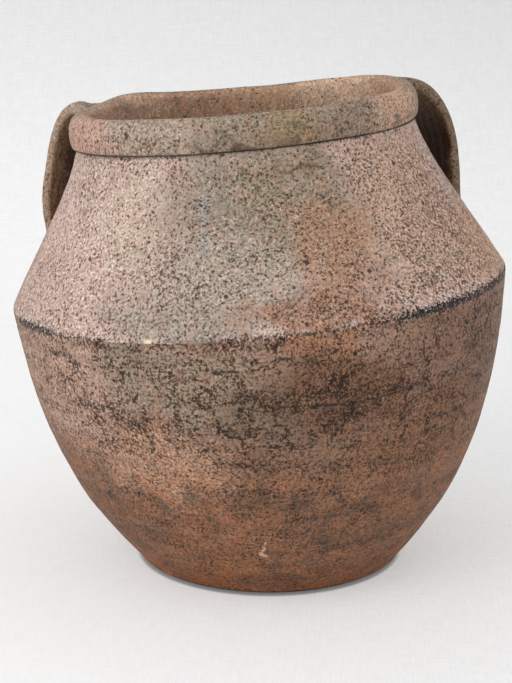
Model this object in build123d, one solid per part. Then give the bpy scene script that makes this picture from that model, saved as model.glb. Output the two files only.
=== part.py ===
from build123d import *
import math
import os

# A hand-thrown earthenware jar for olives: a wide bowl on a flat foot, a keel, a conical
# shoulder, a thick rolled rim and two strap handles set towards the back.
# The potter made it from six pieces of clay, joined with slip before firing. The jar dried
# crooked: everything above the keel leans to the left, so the mouth is lower on that side.
# Frame: millimetres, +Z up, origin at the centre of the foot, the back of the jar at +Y.

# Foot: a shallow dish, thrown first, that the bowl's wall is built up on
foot_radius = 79.5
foot_edge_radius = 5.0
foot_height = 28.0
floor_thickness = 12.0
floor_cove_radius = 14.0

# Bowl, from the foot up to the keel
keel_height = 172.7
keel_radius = 150.6
keel_drift = -6.8  # how far the keel's centre has moved off the foot's centre, along X
drift_power = 1.8  # how late in the bowl's height that comes
wall = 9.0
bowl_taper_share = 0.29  # the part of the bowl's swell that is straight taper
bowl_round_power = 2.77  # how early the rest of the swell comes
bowl_ring_count = 9

# Shoulder, from the keel up to the rim
lean_angle = 4.95  # degrees to the left, for the shoulder, rim and handles alike
shoulder_rise = 93.7
neck_radius = 101.5
shoulder_sag = 2.7  # how far the shoulder is drawn in below the neck
keel_edge_radius = 6.0
keel_inner_radius = 14.0

# Rolled rim, and how far it has lifted beside each handle
neck_step = 0.6  # the upright neck that shows below the rim
rim_height = 19.0
rim_overhang = 1.2  # past the neck, at the rim's lower edge
rim_bulge = 1.8  # past its lower edge, at the rim's fullest
rim_bulge_height_share = 0.48
rim_inset = 0.8  # past the neck wall, on the inside
rim_crest_share = 0.55  # where the rim is highest, across its width from the inside
rim_turn_height_share = 0.62  # where the roll turns down into the mouth
neck_tongue = 6.0  # the neck's upright edge, let into the rim
right_lift = 3.0
right_lift_azimuth = 25.0
left_lift = 3.4
left_lift_azimuth = 138.5
back_dip = 2.3
back_dip_azimuth = 95.0
lift_power = 12  # how narrow the right rise and the dip are
left_lift_power = 48  # the left rise is narrower
rim_point_count = 48

# Strap handles. Azimuths are degrees from +X towards +Y, about the leaning axis.
right_azimuth = 28.0
left_azimuth = 152.0
strap_width = 40.0
strap_thickness = 8.5
strap_edge_share = 0.42  # the strap's edge radius over its thickness
strap_ring_count = 11
rim_flare = 4.0  # extra strap width where it is pressed on the rim
shoulder_flare = 2.0  # extra strap width where it is smeared on the shoulder
shoulder_pad = 1.5  # extra thickness there
flare_power = 5.0
strap_root_overhang = 2.0  # past the neck, where the strap begins to bend
right_step = -1.6  # the strap's top above the rim's
right_inset = 13.7  # from the keel's edge in to the middle of the upright strap
right_bend_drop = 48.0
right_fullness = 0.58  # how square the bend is: 0.55 is a plain ellipse
right_roll = 0.0  # degrees, front edge up, where the strap leaves the rim
left_step = 0.0
left_inset = 11.7
left_bend_drop = 79.5
left_fullness = 0.62
left_roll = 5.0
strap_burial = 14.0  # how far the strap's lower end runs past the shoulder's surface

overrun = 5.0  # added to cutting shapes
guide_height = 60.0  # how far above the rim its upright guide lies


def swell(share):
    """How much of the way from foot to keel radius the bowl has opened, at a share of its height."""
    rounded = 1 - (1 - share) ** bowl_round_power
    return bowl_taper_share * share + (1 - bowl_taper_share) * rounded


def swell_rate(share):
    """How fast the swell grows with the share of the height."""
    rounded = bowl_round_power * (1 - share) ** (bowl_round_power - 1)
    return bowl_taper_share + (1 - bowl_taper_share) * rounded


def bowl_radius(share, inset):
    """The bowl's radius at a share of the keel height, with its skin drawn in by inset."""
    opening = keel_radius - foot_radius
    slope = swell_rate(share) * opening / keel_height
    return foot_radius + opening * swell(share) - inset * math.hypot(1, slope)


def bowl_ring(share, inset):
    """The bowl's ring at a share of the keel height, tilting and drifting as it rises."""
    centre = Vector(keel_drift * share**drift_power, 0, keel_height * share)
    tilt = math.radians(lean_angle * share)
    plane = Plane(
        origin=centre,
        x_dir=(math.cos(tilt), 0, math.sin(tilt)),
        z_dir=(-math.sin(tilt), 0, math.cos(tilt)),
    )
    return plane * Circle(bowl_radius(share, inset))


def bowl_body(inset):
    """The solid inside the bowl's skin, or inside that skin drawn in by inset."""
    shares = [i / (bowl_ring_count - 1) for i in range(bowl_ring_count)]
    return loft([bowl_ring(share, inset) for share in shares])


def layer(low, high):
    """A level slab that covers the whole jar between two heights."""
    span = 4 * keel_radius
    slab = Box(span, span, high - low, align=(Align.CENTER, Align.CENTER, Align.MIN))
    return Pos(0, 0, low) * slab


# The frame of everything above the keel: its Z runs up the leaning axis.
lean = math.radians(lean_angle)
upper = Plane(
    origin=(keel_drift, 0, keel_height),
    x_dir=(math.cos(lean), 0, math.sin(lean)),
    z_dir=(-math.sin(lean), 0, math.cos(lean)),
)


def shoulder_turn(keel, edge, neck):
    """The angle that the rounded keel turns through before the shoulder's straight run begins."""
    across = neck - (keel - edge)
    return math.atan2(shoulder_rise, across) - math.acos(edge / math.hypot(across, shoulder_rise))


def shoulder_profile(keel, edge, neck):
    """The shoulder's line in the R-Z plane, from a keel radius round its edge to the neck."""
    turn = shoulder_turn(keel, edge, neck)
    centre = keel - edge
    middle = (centre + edge * math.cos(turn / 2), edge * math.sin(turn / 2))
    bend = Vector(centre + edge * math.cos(turn), edge * math.sin(turn))
    top = Vector(neck, shoulder_rise)
    low_pull = bend + (top - bend) / 3
    high_pull = bend + (top - bend) * 2 / 3 - Vector(shoulder_sag * 9 / 4, 0)
    rounding = ThreePointArc((keel, 0), middle, bend)
    slope = Bezier(bend, low_pull, high_pull, top)
    return [rounding, slope, Line(top, (neck, shoulder_rise + neck_tongue))]


keel_inside = bowl_radius(1, wall)
wall_across = wall / math.cos(shoulder_turn(keel_radius, keel_edge_radius, neck_radius))
neck_inside = neck_radius - wall_across
outer_line = shoulder_profile(keel_radius, keel_edge_radius, neck_radius)
inner_line = shoulder_profile(keel_inside, keel_inner_radius, neck_inside)


def shoulder_body():
    """The shoulder's wall, with an upright neck for the rim to be rolled over."""
    ends = [Line(outer @ place, inner @ place) for outer, inner, place in (
        (outer_line[0], inner_line[0], 0),
        (outer_line[-1], inner_line[-1], 1),
    )]
    return revolve(Plane.XZ * make_face(outer_line + inner_line + ends), Axis.Z)


def shoulder_core():
    """Everything inside the shoulder's outer skin, for seating the handles."""
    foot = (keel_radius, 0)
    top = outer_line[-1] @ 1
    closing = Polyline(top, (0, top.Y), (0, -overrun), (keel_radius, -overrun), foot)
    return revolve(Plane.XZ * make_face(outer_line + [closing]), Axis.Z)


def lift(azimuth):
    """How far the rim stands above its level ring at an azimuth in degrees."""
    total = 0.0
    for height, middle, power in (
        (right_lift, right_lift_azimuth, lift_power),
        (left_lift, left_lift_azimuth, left_lift_power),
        (-back_dip, back_dip_azimuth, lift_power),
    ):
        nearness = (1 + math.cos(math.radians(azimuth - middle))) / 2
        total += height * nearness**power
    return total


def rim_ring(height):
    """A closed curve round the neck that follows the rim's lift, at a height above the keel."""
    points = []
    for i in range(rim_point_count):
        azimuth = 360 * i / rim_point_count
        turn = math.radians(azimuth)
        points.append(
            Vector(neck_radius * math.cos(turn), neck_radius * math.sin(turn), height + lift(azimuth))
        )
    return Edge.make_spline(points, periodic=True)


rim_base = shoulder_rise + neck_step
rim_outside = neck_radius + rim_overhang
rim_inside = neck_inside - rim_inset
rim_crest = rim_inside + (rim_outside - rim_inside) * rim_crest_share


def rim_roll():
    """The lip: a coil rolled outwards over the neck, flat beneath, full outside, round on top."""
    base = rim_base + lift(0)
    lower_out = (rim_outside, base)
    lower_in = (rim_inside, base)
    full = (rim_outside + rim_bulge, base + rim_height * rim_bulge_height_share)
    crest = (rim_crest, base + rim_height)
    turn_in = (rim_inside, base + rim_height * rim_turn_height_share)
    roll = Spline(lower_out, full, crest, turn_in, tangents=[(1, 1), (0, -1)])
    section = Plane.XZ * make_face([Line(lower_in, lower_out), roll, Line(turn_in, lower_in)])
    path = rim_ring(rim_base)
    return sweep(section, path=path, binormal=rim_ring(rim_base + guide_height))


def strap_path(azimuth, step, inset, bend_drop, fullness):
    """The strap's middle line, in its own upright plane: out of the rim, over, and down."""
    top = rim_base + rim_height + lift(azimuth) + step - strap_thickness / 2
    drop = top - bend_drop
    root = neck_radius + strap_root_overhang
    middle = keel_radius - inset
    landing_share = inset / (keel_radius - neck_radius)
    landing = shoulder_rise * landing_share - strap_burial
    return Wire([
        Line((rim_crest, top), (root, top)),
        Bezier(
            (root, top),
            (root + (middle - root) * fullness, top),
            (middle, drop + bend_drop * fullness),
            (middle, drop),
        ),
        Line((middle, drop), (middle, landing)),
    ])


def strap_section(share):
    """The strap's cross-section at a share of its length, wider where it is pressed on."""
    flare = rim_flare * (1 - share) ** flare_power + shoulder_flare * share**flare_power
    pad = shoulder_pad * share**flare_power
    thickness = strap_thickness + pad
    return RectangleRounded(strap_width + flare, thickness, thickness * strap_edge_share)


def handle(azimuth, step, inset, bend_drop, fullness, roll, seat):
    """One strap handle in the leaning frame, trimmed to the clay that it is pressed on."""
    turn = math.radians(azimuth)
    across = Vector(math.cos(turn), math.sin(turn), 0)
    side = Vector(-math.sin(turn), math.cos(turn), 0)
    front = math.copysign(1, math.cos(turn))
    path = strap_path(azimuth, step, inset, bend_drop, fullness)
    rings = []
    for i in range(strap_ring_count):
        share = i / (strap_ring_count - 1)
        point = path.position_at(share)
        heading = path.tangent_at(share)
        along = across * heading.X + Vector(0, 0, heading.Y)
        turned = math.radians(roll * (1 - share)) * front
        plane = Plane(
            origin=across * point.X + Vector(0, 0, point.Y),
            x_dir=side * math.cos(turned) + side.cross(along) * math.sin(turned),
            z_dir=along,
        )
        rings.append(plane * strap_section(share))
    strap = loft(rings)
    for piece in seat:
        strap = strap - piece
    return max(strap.solids(), key=lambda solid: solid.volume)


bowl = bowl_body(0)
bowl = fillet(bowl.edges().group_by(Axis.Z)[0], foot_edge_radius)
hollow = bowl_body(wall) & layer(floor_thickness, 2 * keel_height)
hollow = fillet(hollow.edges().group_by(Axis.Z)[0], floor_cove_radius)
foot_dish = (bowl & layer(0, foot_height)) - hollow
bowl_wall = (bowl & layer(foot_height, 2 * keel_height)) - hollow

rim = rim_roll()
shoulder_wall = shoulder_body() - rim
seat = [shoulder_core(), rim]
right_handle = handle(
    right_azimuth, right_step, right_inset, right_bend_drop, right_fullness, right_roll, seat
)
left_handle = handle(
    left_azimuth, left_step, left_inset, left_bend_drop, left_fullness, left_roll, seat
)

pieces = {
    "foot_dish": foot_dish,
    "bowl_wall": bowl_wall,
    "shoulder_wall": upper.location * shoulder_wall,
    "rim_roll": upper.location * rim,
    "right_handle": upper.location * right_handle,
    "left_handle": upper.location * left_handle,
}

os.makedirs("parts", exist_ok=True)
for name, piece in pieces.items():
    export_step(piece, f"parts/{name}.step")
    box = piece.bounding_box()
    print(name, len(piece.solids()), "solid", round(piece.volume / 1000), "cm3", box.size)
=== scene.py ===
import math

import bpy
import numpy as np
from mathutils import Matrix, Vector, noise


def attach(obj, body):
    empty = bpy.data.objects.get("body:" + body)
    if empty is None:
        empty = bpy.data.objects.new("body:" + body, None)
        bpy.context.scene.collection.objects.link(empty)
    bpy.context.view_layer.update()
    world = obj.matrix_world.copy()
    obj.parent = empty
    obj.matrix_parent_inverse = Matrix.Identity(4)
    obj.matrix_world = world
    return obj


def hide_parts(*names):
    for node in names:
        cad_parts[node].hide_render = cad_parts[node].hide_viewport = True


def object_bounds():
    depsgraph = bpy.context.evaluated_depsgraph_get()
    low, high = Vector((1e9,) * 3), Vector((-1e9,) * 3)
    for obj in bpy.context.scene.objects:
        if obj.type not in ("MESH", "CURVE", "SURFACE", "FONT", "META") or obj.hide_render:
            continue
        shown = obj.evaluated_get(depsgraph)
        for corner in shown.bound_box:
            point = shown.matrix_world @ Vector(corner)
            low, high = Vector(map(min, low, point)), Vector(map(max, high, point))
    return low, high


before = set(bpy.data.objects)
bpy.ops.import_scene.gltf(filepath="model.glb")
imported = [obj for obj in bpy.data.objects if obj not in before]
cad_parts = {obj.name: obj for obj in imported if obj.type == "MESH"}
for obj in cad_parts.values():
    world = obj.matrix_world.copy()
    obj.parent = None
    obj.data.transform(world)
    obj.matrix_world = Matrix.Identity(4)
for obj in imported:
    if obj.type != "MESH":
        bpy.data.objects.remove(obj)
cad_box = [list(corner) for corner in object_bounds()]

# The foot: a shallow dish of coarse red clay, thrown first on the wheel.
# Its flat was cut from the wheel with a wire, and its wall was rubbed smooth
# with a wet hand, so it is the smoothest and brownest part of the jar.

FOOT_RADIUS = 0.0795
FOOT_EDGE = 0.005
FOOT_HEIGHT = 0.028
FLOOR = 0.012
FLOOR_COVE = 0.014
FLOOR_RING_HEIGHT = 0.0005
KEEL_HEIGHT = 0.1727
KEEL_RADIUS = 0.1506
KEEL_DRIFT = -0.0068
DRIFT_POWER = 1.8
BOWL_FLARE = KEEL_RADIUS - FOOT_RADIUS
TAPER_SHARE = 0.29
ROUND_POWER = 2.77
WALL = 0.009
LEAN = math.radians(4.95)
AROUND = 576
TURN = np.linspace(0, 2 * np.pi, AROUND, endpoint=False)
LUMPS_PER_METRE = 22
RIPPLES_AROUND, RIPPLES_UP = 9, 150
GRITS_PER_METRE = 330
GRIT_DEPTH = 0.0001
BOX_MARGIN = 0.00002
SHARP_ANGLE = math.radians(50)


def uneven(points, lump=0.00035, ripple=0.00015):
    """How far the hand and the grit drew the skin in from its even shape, at each point."""
    flat = points.reshape(-1, 3)
    drawn = np.empty(len(flat))
    for i, (x, y, z) in enumerate(flat):
        broad = noise.fractal(Vector((x, y, z)) * LUMPS_PER_METRE, 1.0, 2.0, 2)
        wheel = noise.noise(Vector((x * RIPPLES_AROUND, y * RIPPLES_AROUND, z * RIPPLES_UP)))
        fine = noise.fractal(Vector((x, y, z)) * GRITS_PER_METRE, 0.8, 2.1, 2)
        drawn[i] = lump * broad + ripple * wheel + GRIT_DEPTH * fine
    return drawn.reshape(points.shape[:-1])


def bowl_skin(share, inset):
    """Points round the bowl at a share of the keel's height for each turn, drawn in by inset."""
    share = np.minimum(1, share + 0 * TURN)
    swell = TAPER_SHARE * share + (1 - TAPER_SHARE) * (1 - (1 - share) ** ROUND_POWER)
    rate = TAPER_SHARE + (1 - TAPER_SHARE) * ROUND_POWER * (1 - share) ** (ROUND_POWER - 1)
    radius = FOOT_RADIUS + BOWL_FLARE * swell - inset * np.hypot(1, rate * BOWL_FLARE / KEEL_HEIGHT)
    tilt = LEAN * share
    x = KEEL_DRIFT * share**DRIFT_POWER + radius * np.cos(TURN) * np.cos(tilt)
    z = KEEL_HEIGHT * share + radius * np.cos(TURN) * np.sin(tilt)
    return np.stack([x, radius * np.sin(TURN), z], -1)


def share_at(height, inset):
    """The share of the keel's height at which the bowl's skin is at this level, for each turn."""
    share = np.full(AROUND, height / KEEL_HEIGHT)
    for _ in range(12):
        share = share + (height - bowl_skin(share, inset)[:, 2]) / KEEL_HEIGHT
    return share


def drawn_in(points, centre_x, depth):
    """Points moved level towards the jar's axis by their own depths."""
    outwards = points - np.stack([centre_x + 0 * depth, 0 * depth, points[..., 2]], -1)
    outwards[..., 2] = 0
    return points - outwards / np.linalg.norm(outwards, axis=-1, keepdims=True) * depth[..., None]


def boxed(points):
    """Points held just inside the box of the jar's solids."""
    low, high = np.array(cad_box)
    return np.clip(points, low + BOX_MARGIN, high - BOX_MARGIN)


def linked(name, data):
    """A new object in the scene."""
    made = bpy.data.objects.new(name, data)
    bpy.context.scene.collection.objects.link(made)
    return made


def ring_mesh(name, rings, closed):
    """A piece from rings of points: the last ring joins the first, or both ends close on a middle point."""
    rings = boxed(np.array(rings))
    rows, columns = rings.shape[:2]
    points = [tuple(p) for p in rings.reshape(-1, 3)]
    faces = []
    for r in range(rows if closed else rows - 1):
        low, high = r * columns, (r + 1) % rows * columns
        for c in range(columns):
            d = (c + 1) % columns
            faces.append((low + c, low + d, high + d, high + c))
    for r, flip in () if closed else ((0, True), (rows - 1, False)):
        middle = len(points)
        points.append(tuple(np.mean(rings[r], axis=0)))
        for c in range(columns):
            a, b = r * columns + c, r * columns + (c + 1) % columns
            faces.append((middle, b, a) if flip else (middle, a, b))
    mesh = bpy.data.meshes.new(name)
    mesh.from_pydata(points, [], faces)
    mesh.validate()
    mesh.shade_smooth()
    mesh.set_sharp_from_angle(angle=SHARP_ANGLE)
    return linked(name, mesh)


def foot_rings():
    """From the middle of the flat out, round the edge, up the wall, over and down inside to the floor."""
    edge_share, top_share = share_at(FOOT_EDGE, 0), share_at(FOOT_HEIGHT, 0)
    wall_foot = bowl_skin(edge_share, 0)
    flat_edge = (FOOT_RADIUS - FOOT_EDGE) * np.stack([np.cos(TURN), np.sin(TURN), 0 * TURN], -1)
    rings = [flat_edge * share for share in (0.05, 0.2, 0.4, 0.6, 0.8, 0.93, 1.0)]
    for step in range(1, 7):
        angle = step / 7 * math.pi / 2
        swing = np.array([math.sin(angle), math.sin(angle), 1 - math.cos(angle)])
        rings.append(flat_edge + (wall_foot - flat_edge) * swing)
    wall_share = top_share - edge_share
    outside = np.array([bowl_skin(edge_share + wall_share * step / 18, 0) for step in range(19)])
    fade = np.minimum(1, np.arange(1, 20) / 6)[:, None]
    rings += list(drawn_in(outside, 0, uneven(outside) * fade))
    inner_top, cove_share = share_at(FOOT_HEIGHT, WALL), share_at(FLOOR + FLOOR_COVE * 0.75, WALL)
    rings += [bowl_skin(inner_top + (cove_share - inner_top) * step / 5, WALL) for step in range(6)]
    wall_end = rings[-1]
    floor_edge = wall_end * np.array([1, 1, 0])
    floor_edge *= 1 - FLOOR_COVE * 0.9 / np.linalg.norm(floor_edge, axis=1, keepdims=True)
    floor_edge[:, 2] = FLOOR
    for step in range(1, 7):
        angle = step / 6 * math.pi / 2
        swing = np.array([math.cos(angle), math.cos(angle), 1 - math.sin(angle)])
        rings.append(floor_edge + (wall_end - floor_edge) * swing)
    for share in np.linspace(0.95, 0.03, 16):
        ring = floor_edge * np.array([share, share, 1])
        ring[:, 2] += FLOOR_RING_HEIGHT * math.cos(share * 40) * share
        rings.append(ring)
    return rings


class Nodes:
    """A shader node tree, and short ways to add to it."""

    def __init__(self, tree):
        self.tree = tree

    def add(self, kind, links=None, **settings):
        """A node with its settings, and its inputs linked to sockets or set to values."""
        made = self.tree.nodes.new(kind)
        for key, value in settings.items():
            setattr(made, key, value)
        for key, value in (links or {}).items():
            socket = made.inputs[key]
            if isinstance(value, bpy.types.NodeSocket):
                self.tree.links.new(value, socket)
            else:
                socket.default_value = value
        return made

    def calc(self, operation, a, b=0.0, c=0.0):
        return self.add("ShaderNodeMath", {0: a, 1: b, 2: c}, operation=operation).outputs[0]

    def both(self, a, b):
        """Where both masks are, or a mask by its strength."""
        return self.calc("MULTIPLY", a, b)

    def vector(self, operation, a, b=(0.0, 0.0, 0.0), **named):
        """A vector from vectors, or the one number that a length, a distance or a dot product gives."""
        made = self.add("ShaderNodeVectorMath", {0: a, 1: b, **named}, operation=operation)
        return made.outputs["Value" if operation in ("LENGTH", "DISTANCE", "DOT_PRODUCT") else "Vector"]

    def noise(self, place, scale, detail, roughness=0.5, distortion=0.0):
        links = {"Vector": place, "Scale": scale, "Detail": detail, "Roughness": roughness}
        return self.add("ShaderNodeTexNoise", {**links, "Distortion": distortion}).outputs

    def step(self, value, low, high, to_low=0.0, to_high=1.0):
        """A smooth step from to_low to to_high as value goes from low to high."""
        links = {"Value": value, "From Min": low, "From Max": high, "To Min": to_low, "To Max": to_high}
        return self.add("ShaderNodeMapRange", links, interpolation_type="SMOOTHSTEP").outputs["Result"]

    def mix(self, share, under, over, blend="MIX"):
        links = {0: share, 6: under, 7: over}
        return self.add("ShaderNodeMix", links, data_type="RGBA", blend_type=blend).outputs[2]


class Group(Nodes):
    """A shared effect: a node group that takes a place and other named values, and gives named numbers."""

    def __init__(self, name, gives, **takes):
        super().__init__(bpy.data.node_groups.new(name, "ShaderNodeTree"))
        sockets = self.tree.interface
        for label, value in {"Place": (0.0, 0.0, 0.0), **takes}.items():
            kind = "NodeSocketFloat" if isinstance(value, float) else "NodeSocketVector"
            made = sockets.new_socket(label.replace("_", " "), in_out="INPUT", socket_type=kind)
            made.default_value = value
        for label in gives:
            sockets.new_socket(label, in_out="OUTPUT", socket_type="NodeSocketFloat")
        self.taken = self.tree.nodes.new("NodeGroupInput").outputs[:len(takes) + 1]
        self.ends = self.tree.nodes.new("NodeGroupOutput").inputs

    def give(self, *values):
        for value, end in zip(values, self.ends):
            self.tree.links.new(value, end)
        return self.tree


def make_grit_group():
    """The clay's own grit: close dark specks, pale grains between them, and scattered larger pits."""
    takes = {"Grain": 0.5, "Grains per metre": 900.0, "Soot": 0.0, "Speck share": 0.6, "Pit share": 0.3}
    g = Group("Fired grit", ["Dark", "Soft", "Pale", "Speck", "Pit", "Height"], **takes)
    place, grain, grains, soot, speck_share, pit_share = g.taken
    wobble = g.noise(place, g.calc("MULTIPLY", grains, 0.7), 1.0)["Color"]
    centred = g.vector("SUBTRACT", wobble, (0.5, 0.5, 0.5))
    rough = g.vector("ADD", place, g.vector("SCALE", centred, Scale=g.calc("DIVIDE", 2.2, grains)))
    patches = g.noise(rough, g.calc("MULTIPLY", grains, 0.07), 2.5, 0.65)["Fac"]
    crowded = g.calc("SUBTRACT", patches, 0.5)
    level = g.calc("MULTIPLY_ADD", crowded, 0.18, g.calc("ADD", grain, soot))
    height = g.calc("MULTIPLY_ADD", grain, -0.7, 1.0)
    masks = []
    for share, per_grain, small, large, soft, depth in (
        (speck_share, 0.55, 0.17, 0.24, 0.10, -0.35),
        (pit_share, 0.13, 0.05, 0.13, 0.05, -0.8),
    ):
        values = {"Vector": rough, "Scale": g.calc("MULTIPLY", grains, per_grain)}
        cells = g.add("ShaderNodeTexVoronoi", values).outputs
        chance = g.add("ShaderNodeSeparateColor", {0: cells["Color"]}).outputs
        wanted = g.calc("MULTIPLY_ADD", crowded, 1.8, g.calc("MULTIPLY_ADD", soot, 2.5, share))
        shown = g.step(g.calc("SUBTRACT", wanted, chance[0]), -0.03, 0.12)
        size = g.calc("MULTIPLY_ADD", chance[1], large, small)
        outside = g.calc("SUBTRACT", cells["Distance"], size)
        masks.append(g.both(g.step(outside, soft, -soft), shown))
        height = g.calc("MULTIPLY_ADD", masks[-1], depth, height)
    tones = g.step(level, 0.545, 0.64), g.step(grain, 0.42, 0.60), g.step(grain, 0.45, 0.33)
    return g.give(*tones, *masks, height)


def make_mottle_group():
    """Small patches, a few millimetres wide, that fired warmer or cooler than the clay around them."""
    g = Group("Fired mottle", ["Warm", "Cool", "Sooty spot"], Patches_per_metre=150.0)
    place, patches = g.taken
    parts = g.add("ShaderNodeSeparateColor", {0: g.noise(place, patches, 1.5)["Color"]}).outputs
    spots = g.noise(place, g.calc("MULTIPLY", patches, 0.36), 3.0, 0.6)["Fac"]
    return g.give(g.step(parts[0], 0.50, 0.66), g.step(parts[1], 0.50, 0.66), g.step(spots, 0.60, 0.72))


def make_streak_group():
    """Level smears and thin lines left by the wheel and the wet hand."""
    g = Group("Wheel streaks", ["Streak", "Line"], Lines_per_metre=90.0, Length_share=0.07)
    place, lines, length = g.taken
    along = g.calc("MULTIPLY", lines, length)
    scales = g.add("ShaderNodeCombineXYZ", {0: along, 1: along, 2: lines}).outputs[0]
    stretched = g.vector("MULTIPLY", place, scales)
    soft = g.noise(stretched, 1.0, 4.0, 0.6, 0.4)["Fac"]
    fine = g.noise(stretched, 2.7, 3.0, 0.5, 0.3)["Fac"]
    ridge = g.calc("ABSOLUTE", g.calc("SUBTRACT", fine, 0.5))
    line = g.both(g.step(ridge, 0.015, 0.0), g.step(soft, 0.55, 0.66))
    return g.give(g.step(soft, 0.40, 0.62), line)


def make_crack_group():
    """A broken net of fine dry cracks, each cell about a thumbnail wide, with soot gathered along it."""
    g = Group("Dry cracks", ["Crack", "Soot"], Cells_per_metre=75.0, Cover=0.5)
    place, cells, cover = g.taken
    net = g.add("ShaderNodeTexVoronoi", {"Vector": place, "Scale": cells}, feature="DISTANCE_TO_EDGE")
    start = g.calc("MULTIPLY_ADD", cover, -0.3, 0.62)
    patchy = g.noise(place, 45.0, 4.0, 0.68)["Fac"]
    values = {"Value": patchy, "From Min": start, "From Max": g.calc("ADD", start, 0.12)}
    shown = g.add("ShaderNodeMapRange", values).outputs["Result"]
    return g.give(*(g.both(g.step(net.outputs["Distance"], edge, 0.01), shown) for edge in (0.045, 0.22)))


def make_cloud_group():
    """Broad cloudy patches where flame, smoke and air reached the clay unevenly."""
    g = Group("Kiln clouds", ["Smoke", "Blush"], Clouds_per_metre=11.0)
    place, clouds = g.taken
    smoke = g.noise(place, clouds, 5.0, 0.6, 0.4)["Fac"]
    blush = g.noise(g.vector("ADD", place, (1.7, 0.9, 0.4)), clouds, 5.0, 0.6)["Fac"]
    return g.give(g.step(smoke, 0.47, 0.66), g.step(blush, 0.46, 0.64))


def make_stain_group():
    """One stain or worn place: full at its centre, frayed into the grain at its edge."""
    centre, reach = (0.0, 0.0, 0.0), (0.03, 0.03, 0.03)
    g = Group("Placed stain", ["Stain"], Centre=centre, Reach=reach, Grain=0.5, Fray=1.0)
    place, centre, reach, grain, fray = g.taken
    length = g.vector("LENGTH", g.vector("DIVIDE", g.vector("SUBTRACT", place, centre), reach))
    edge = g.calc("MULTIPLY_ADD", g.calc("SUBTRACT", grain, 0.5), fray, length)
    return g.give(g.step(edge, 1.2, 0.6))


def make_mark_group():
    """A drawn mark, such as a scratch, a drip or a level crack, from one point to another."""
    g = Group("Drawn mark", ["Mark"], Start=(0.0, 0.0, 0.0), End=(0.0, 0.0, 0.0), Half_width=0.001, Grain=0.5)
    place, start, end, half_width, grain = g.taken
    way, offset = g.vector("SUBTRACT", end, start), g.vector("SUBTRACT", place, start)
    share = g.calc("DIVIDE", g.vector("DOT_PRODUCT", offset, way), g.vector("DOT_PRODUCT", way, way))
    share = g.add("ShaderNodeClamp", {"Value": share}).outputs["Result"]
    gap = g.vector("DISTANCE", offset, g.vector("SCALE", way, Scale=share))
    edge = g.calc("MULTIPLY_ADD", g.calc("SUBTRACT", grain, 0.5), 3.0, g.calc("DIVIDE", gap, half_width))
    return g.give(g.step(edge, 1.3, 0.5))


def make_lean_group():
    """Where a point lies in the leaning upper half: its height above the keel, its distance from the axis."""
    g = Group("Leaning frame", ["Above keel", "Off axis"])
    offset = g.vector("SUBTRACT", g.taken[0], (KEEL_DRIFT, 0.0, KEEL_HEIGHT))
    up = (-math.sin(LEAN), 0.0, math.cos(LEAN))
    above = g.vector("DOT_PRODUCT", offset, up)
    return g.give(above, g.vector("DISTANCE", offset, g.vector("SCALE", up, Scale=above)))


grit_group = make_grit_group()
streak_group = make_streak_group()
mottle_group = make_mottle_group()
crack_group = make_crack_group()
cloud_group = make_cloud_group()
stain_group = make_stain_group()
mark_group = make_mark_group()
lean_group = make_lean_group()


def tone(red, green, blue):
    """A colour as it looks on a screen, 0 to 255, as the linear values that shaders take."""
    linear = [c / 255 / 12.92 if c <= 10 else ((c / 255 + 0.055) / 1.055) ** 2.4 for c in (red, green, blue)]
    return (*linear, 1.0)


def leaned(across, side, height):
    """A point of the leaning upper half, from how far across, to the side and above the keel it is."""
    x = KEEL_DRIFT + across * math.cos(LEAN) - height * math.sin(LEAN)
    z = KEEL_HEIGHT + across * math.sin(LEAN) + height * math.cos(LEAN)
    return x, side, z


def spot(turn, radius, height):
    """A point by its turn in degrees, and its radius and height above the keel in millimetres."""
    turn = math.radians(turn)
    return leaned(radius / 1000 * math.cos(turn), radius / 1000 * math.sin(turn), height / 1000)


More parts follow.
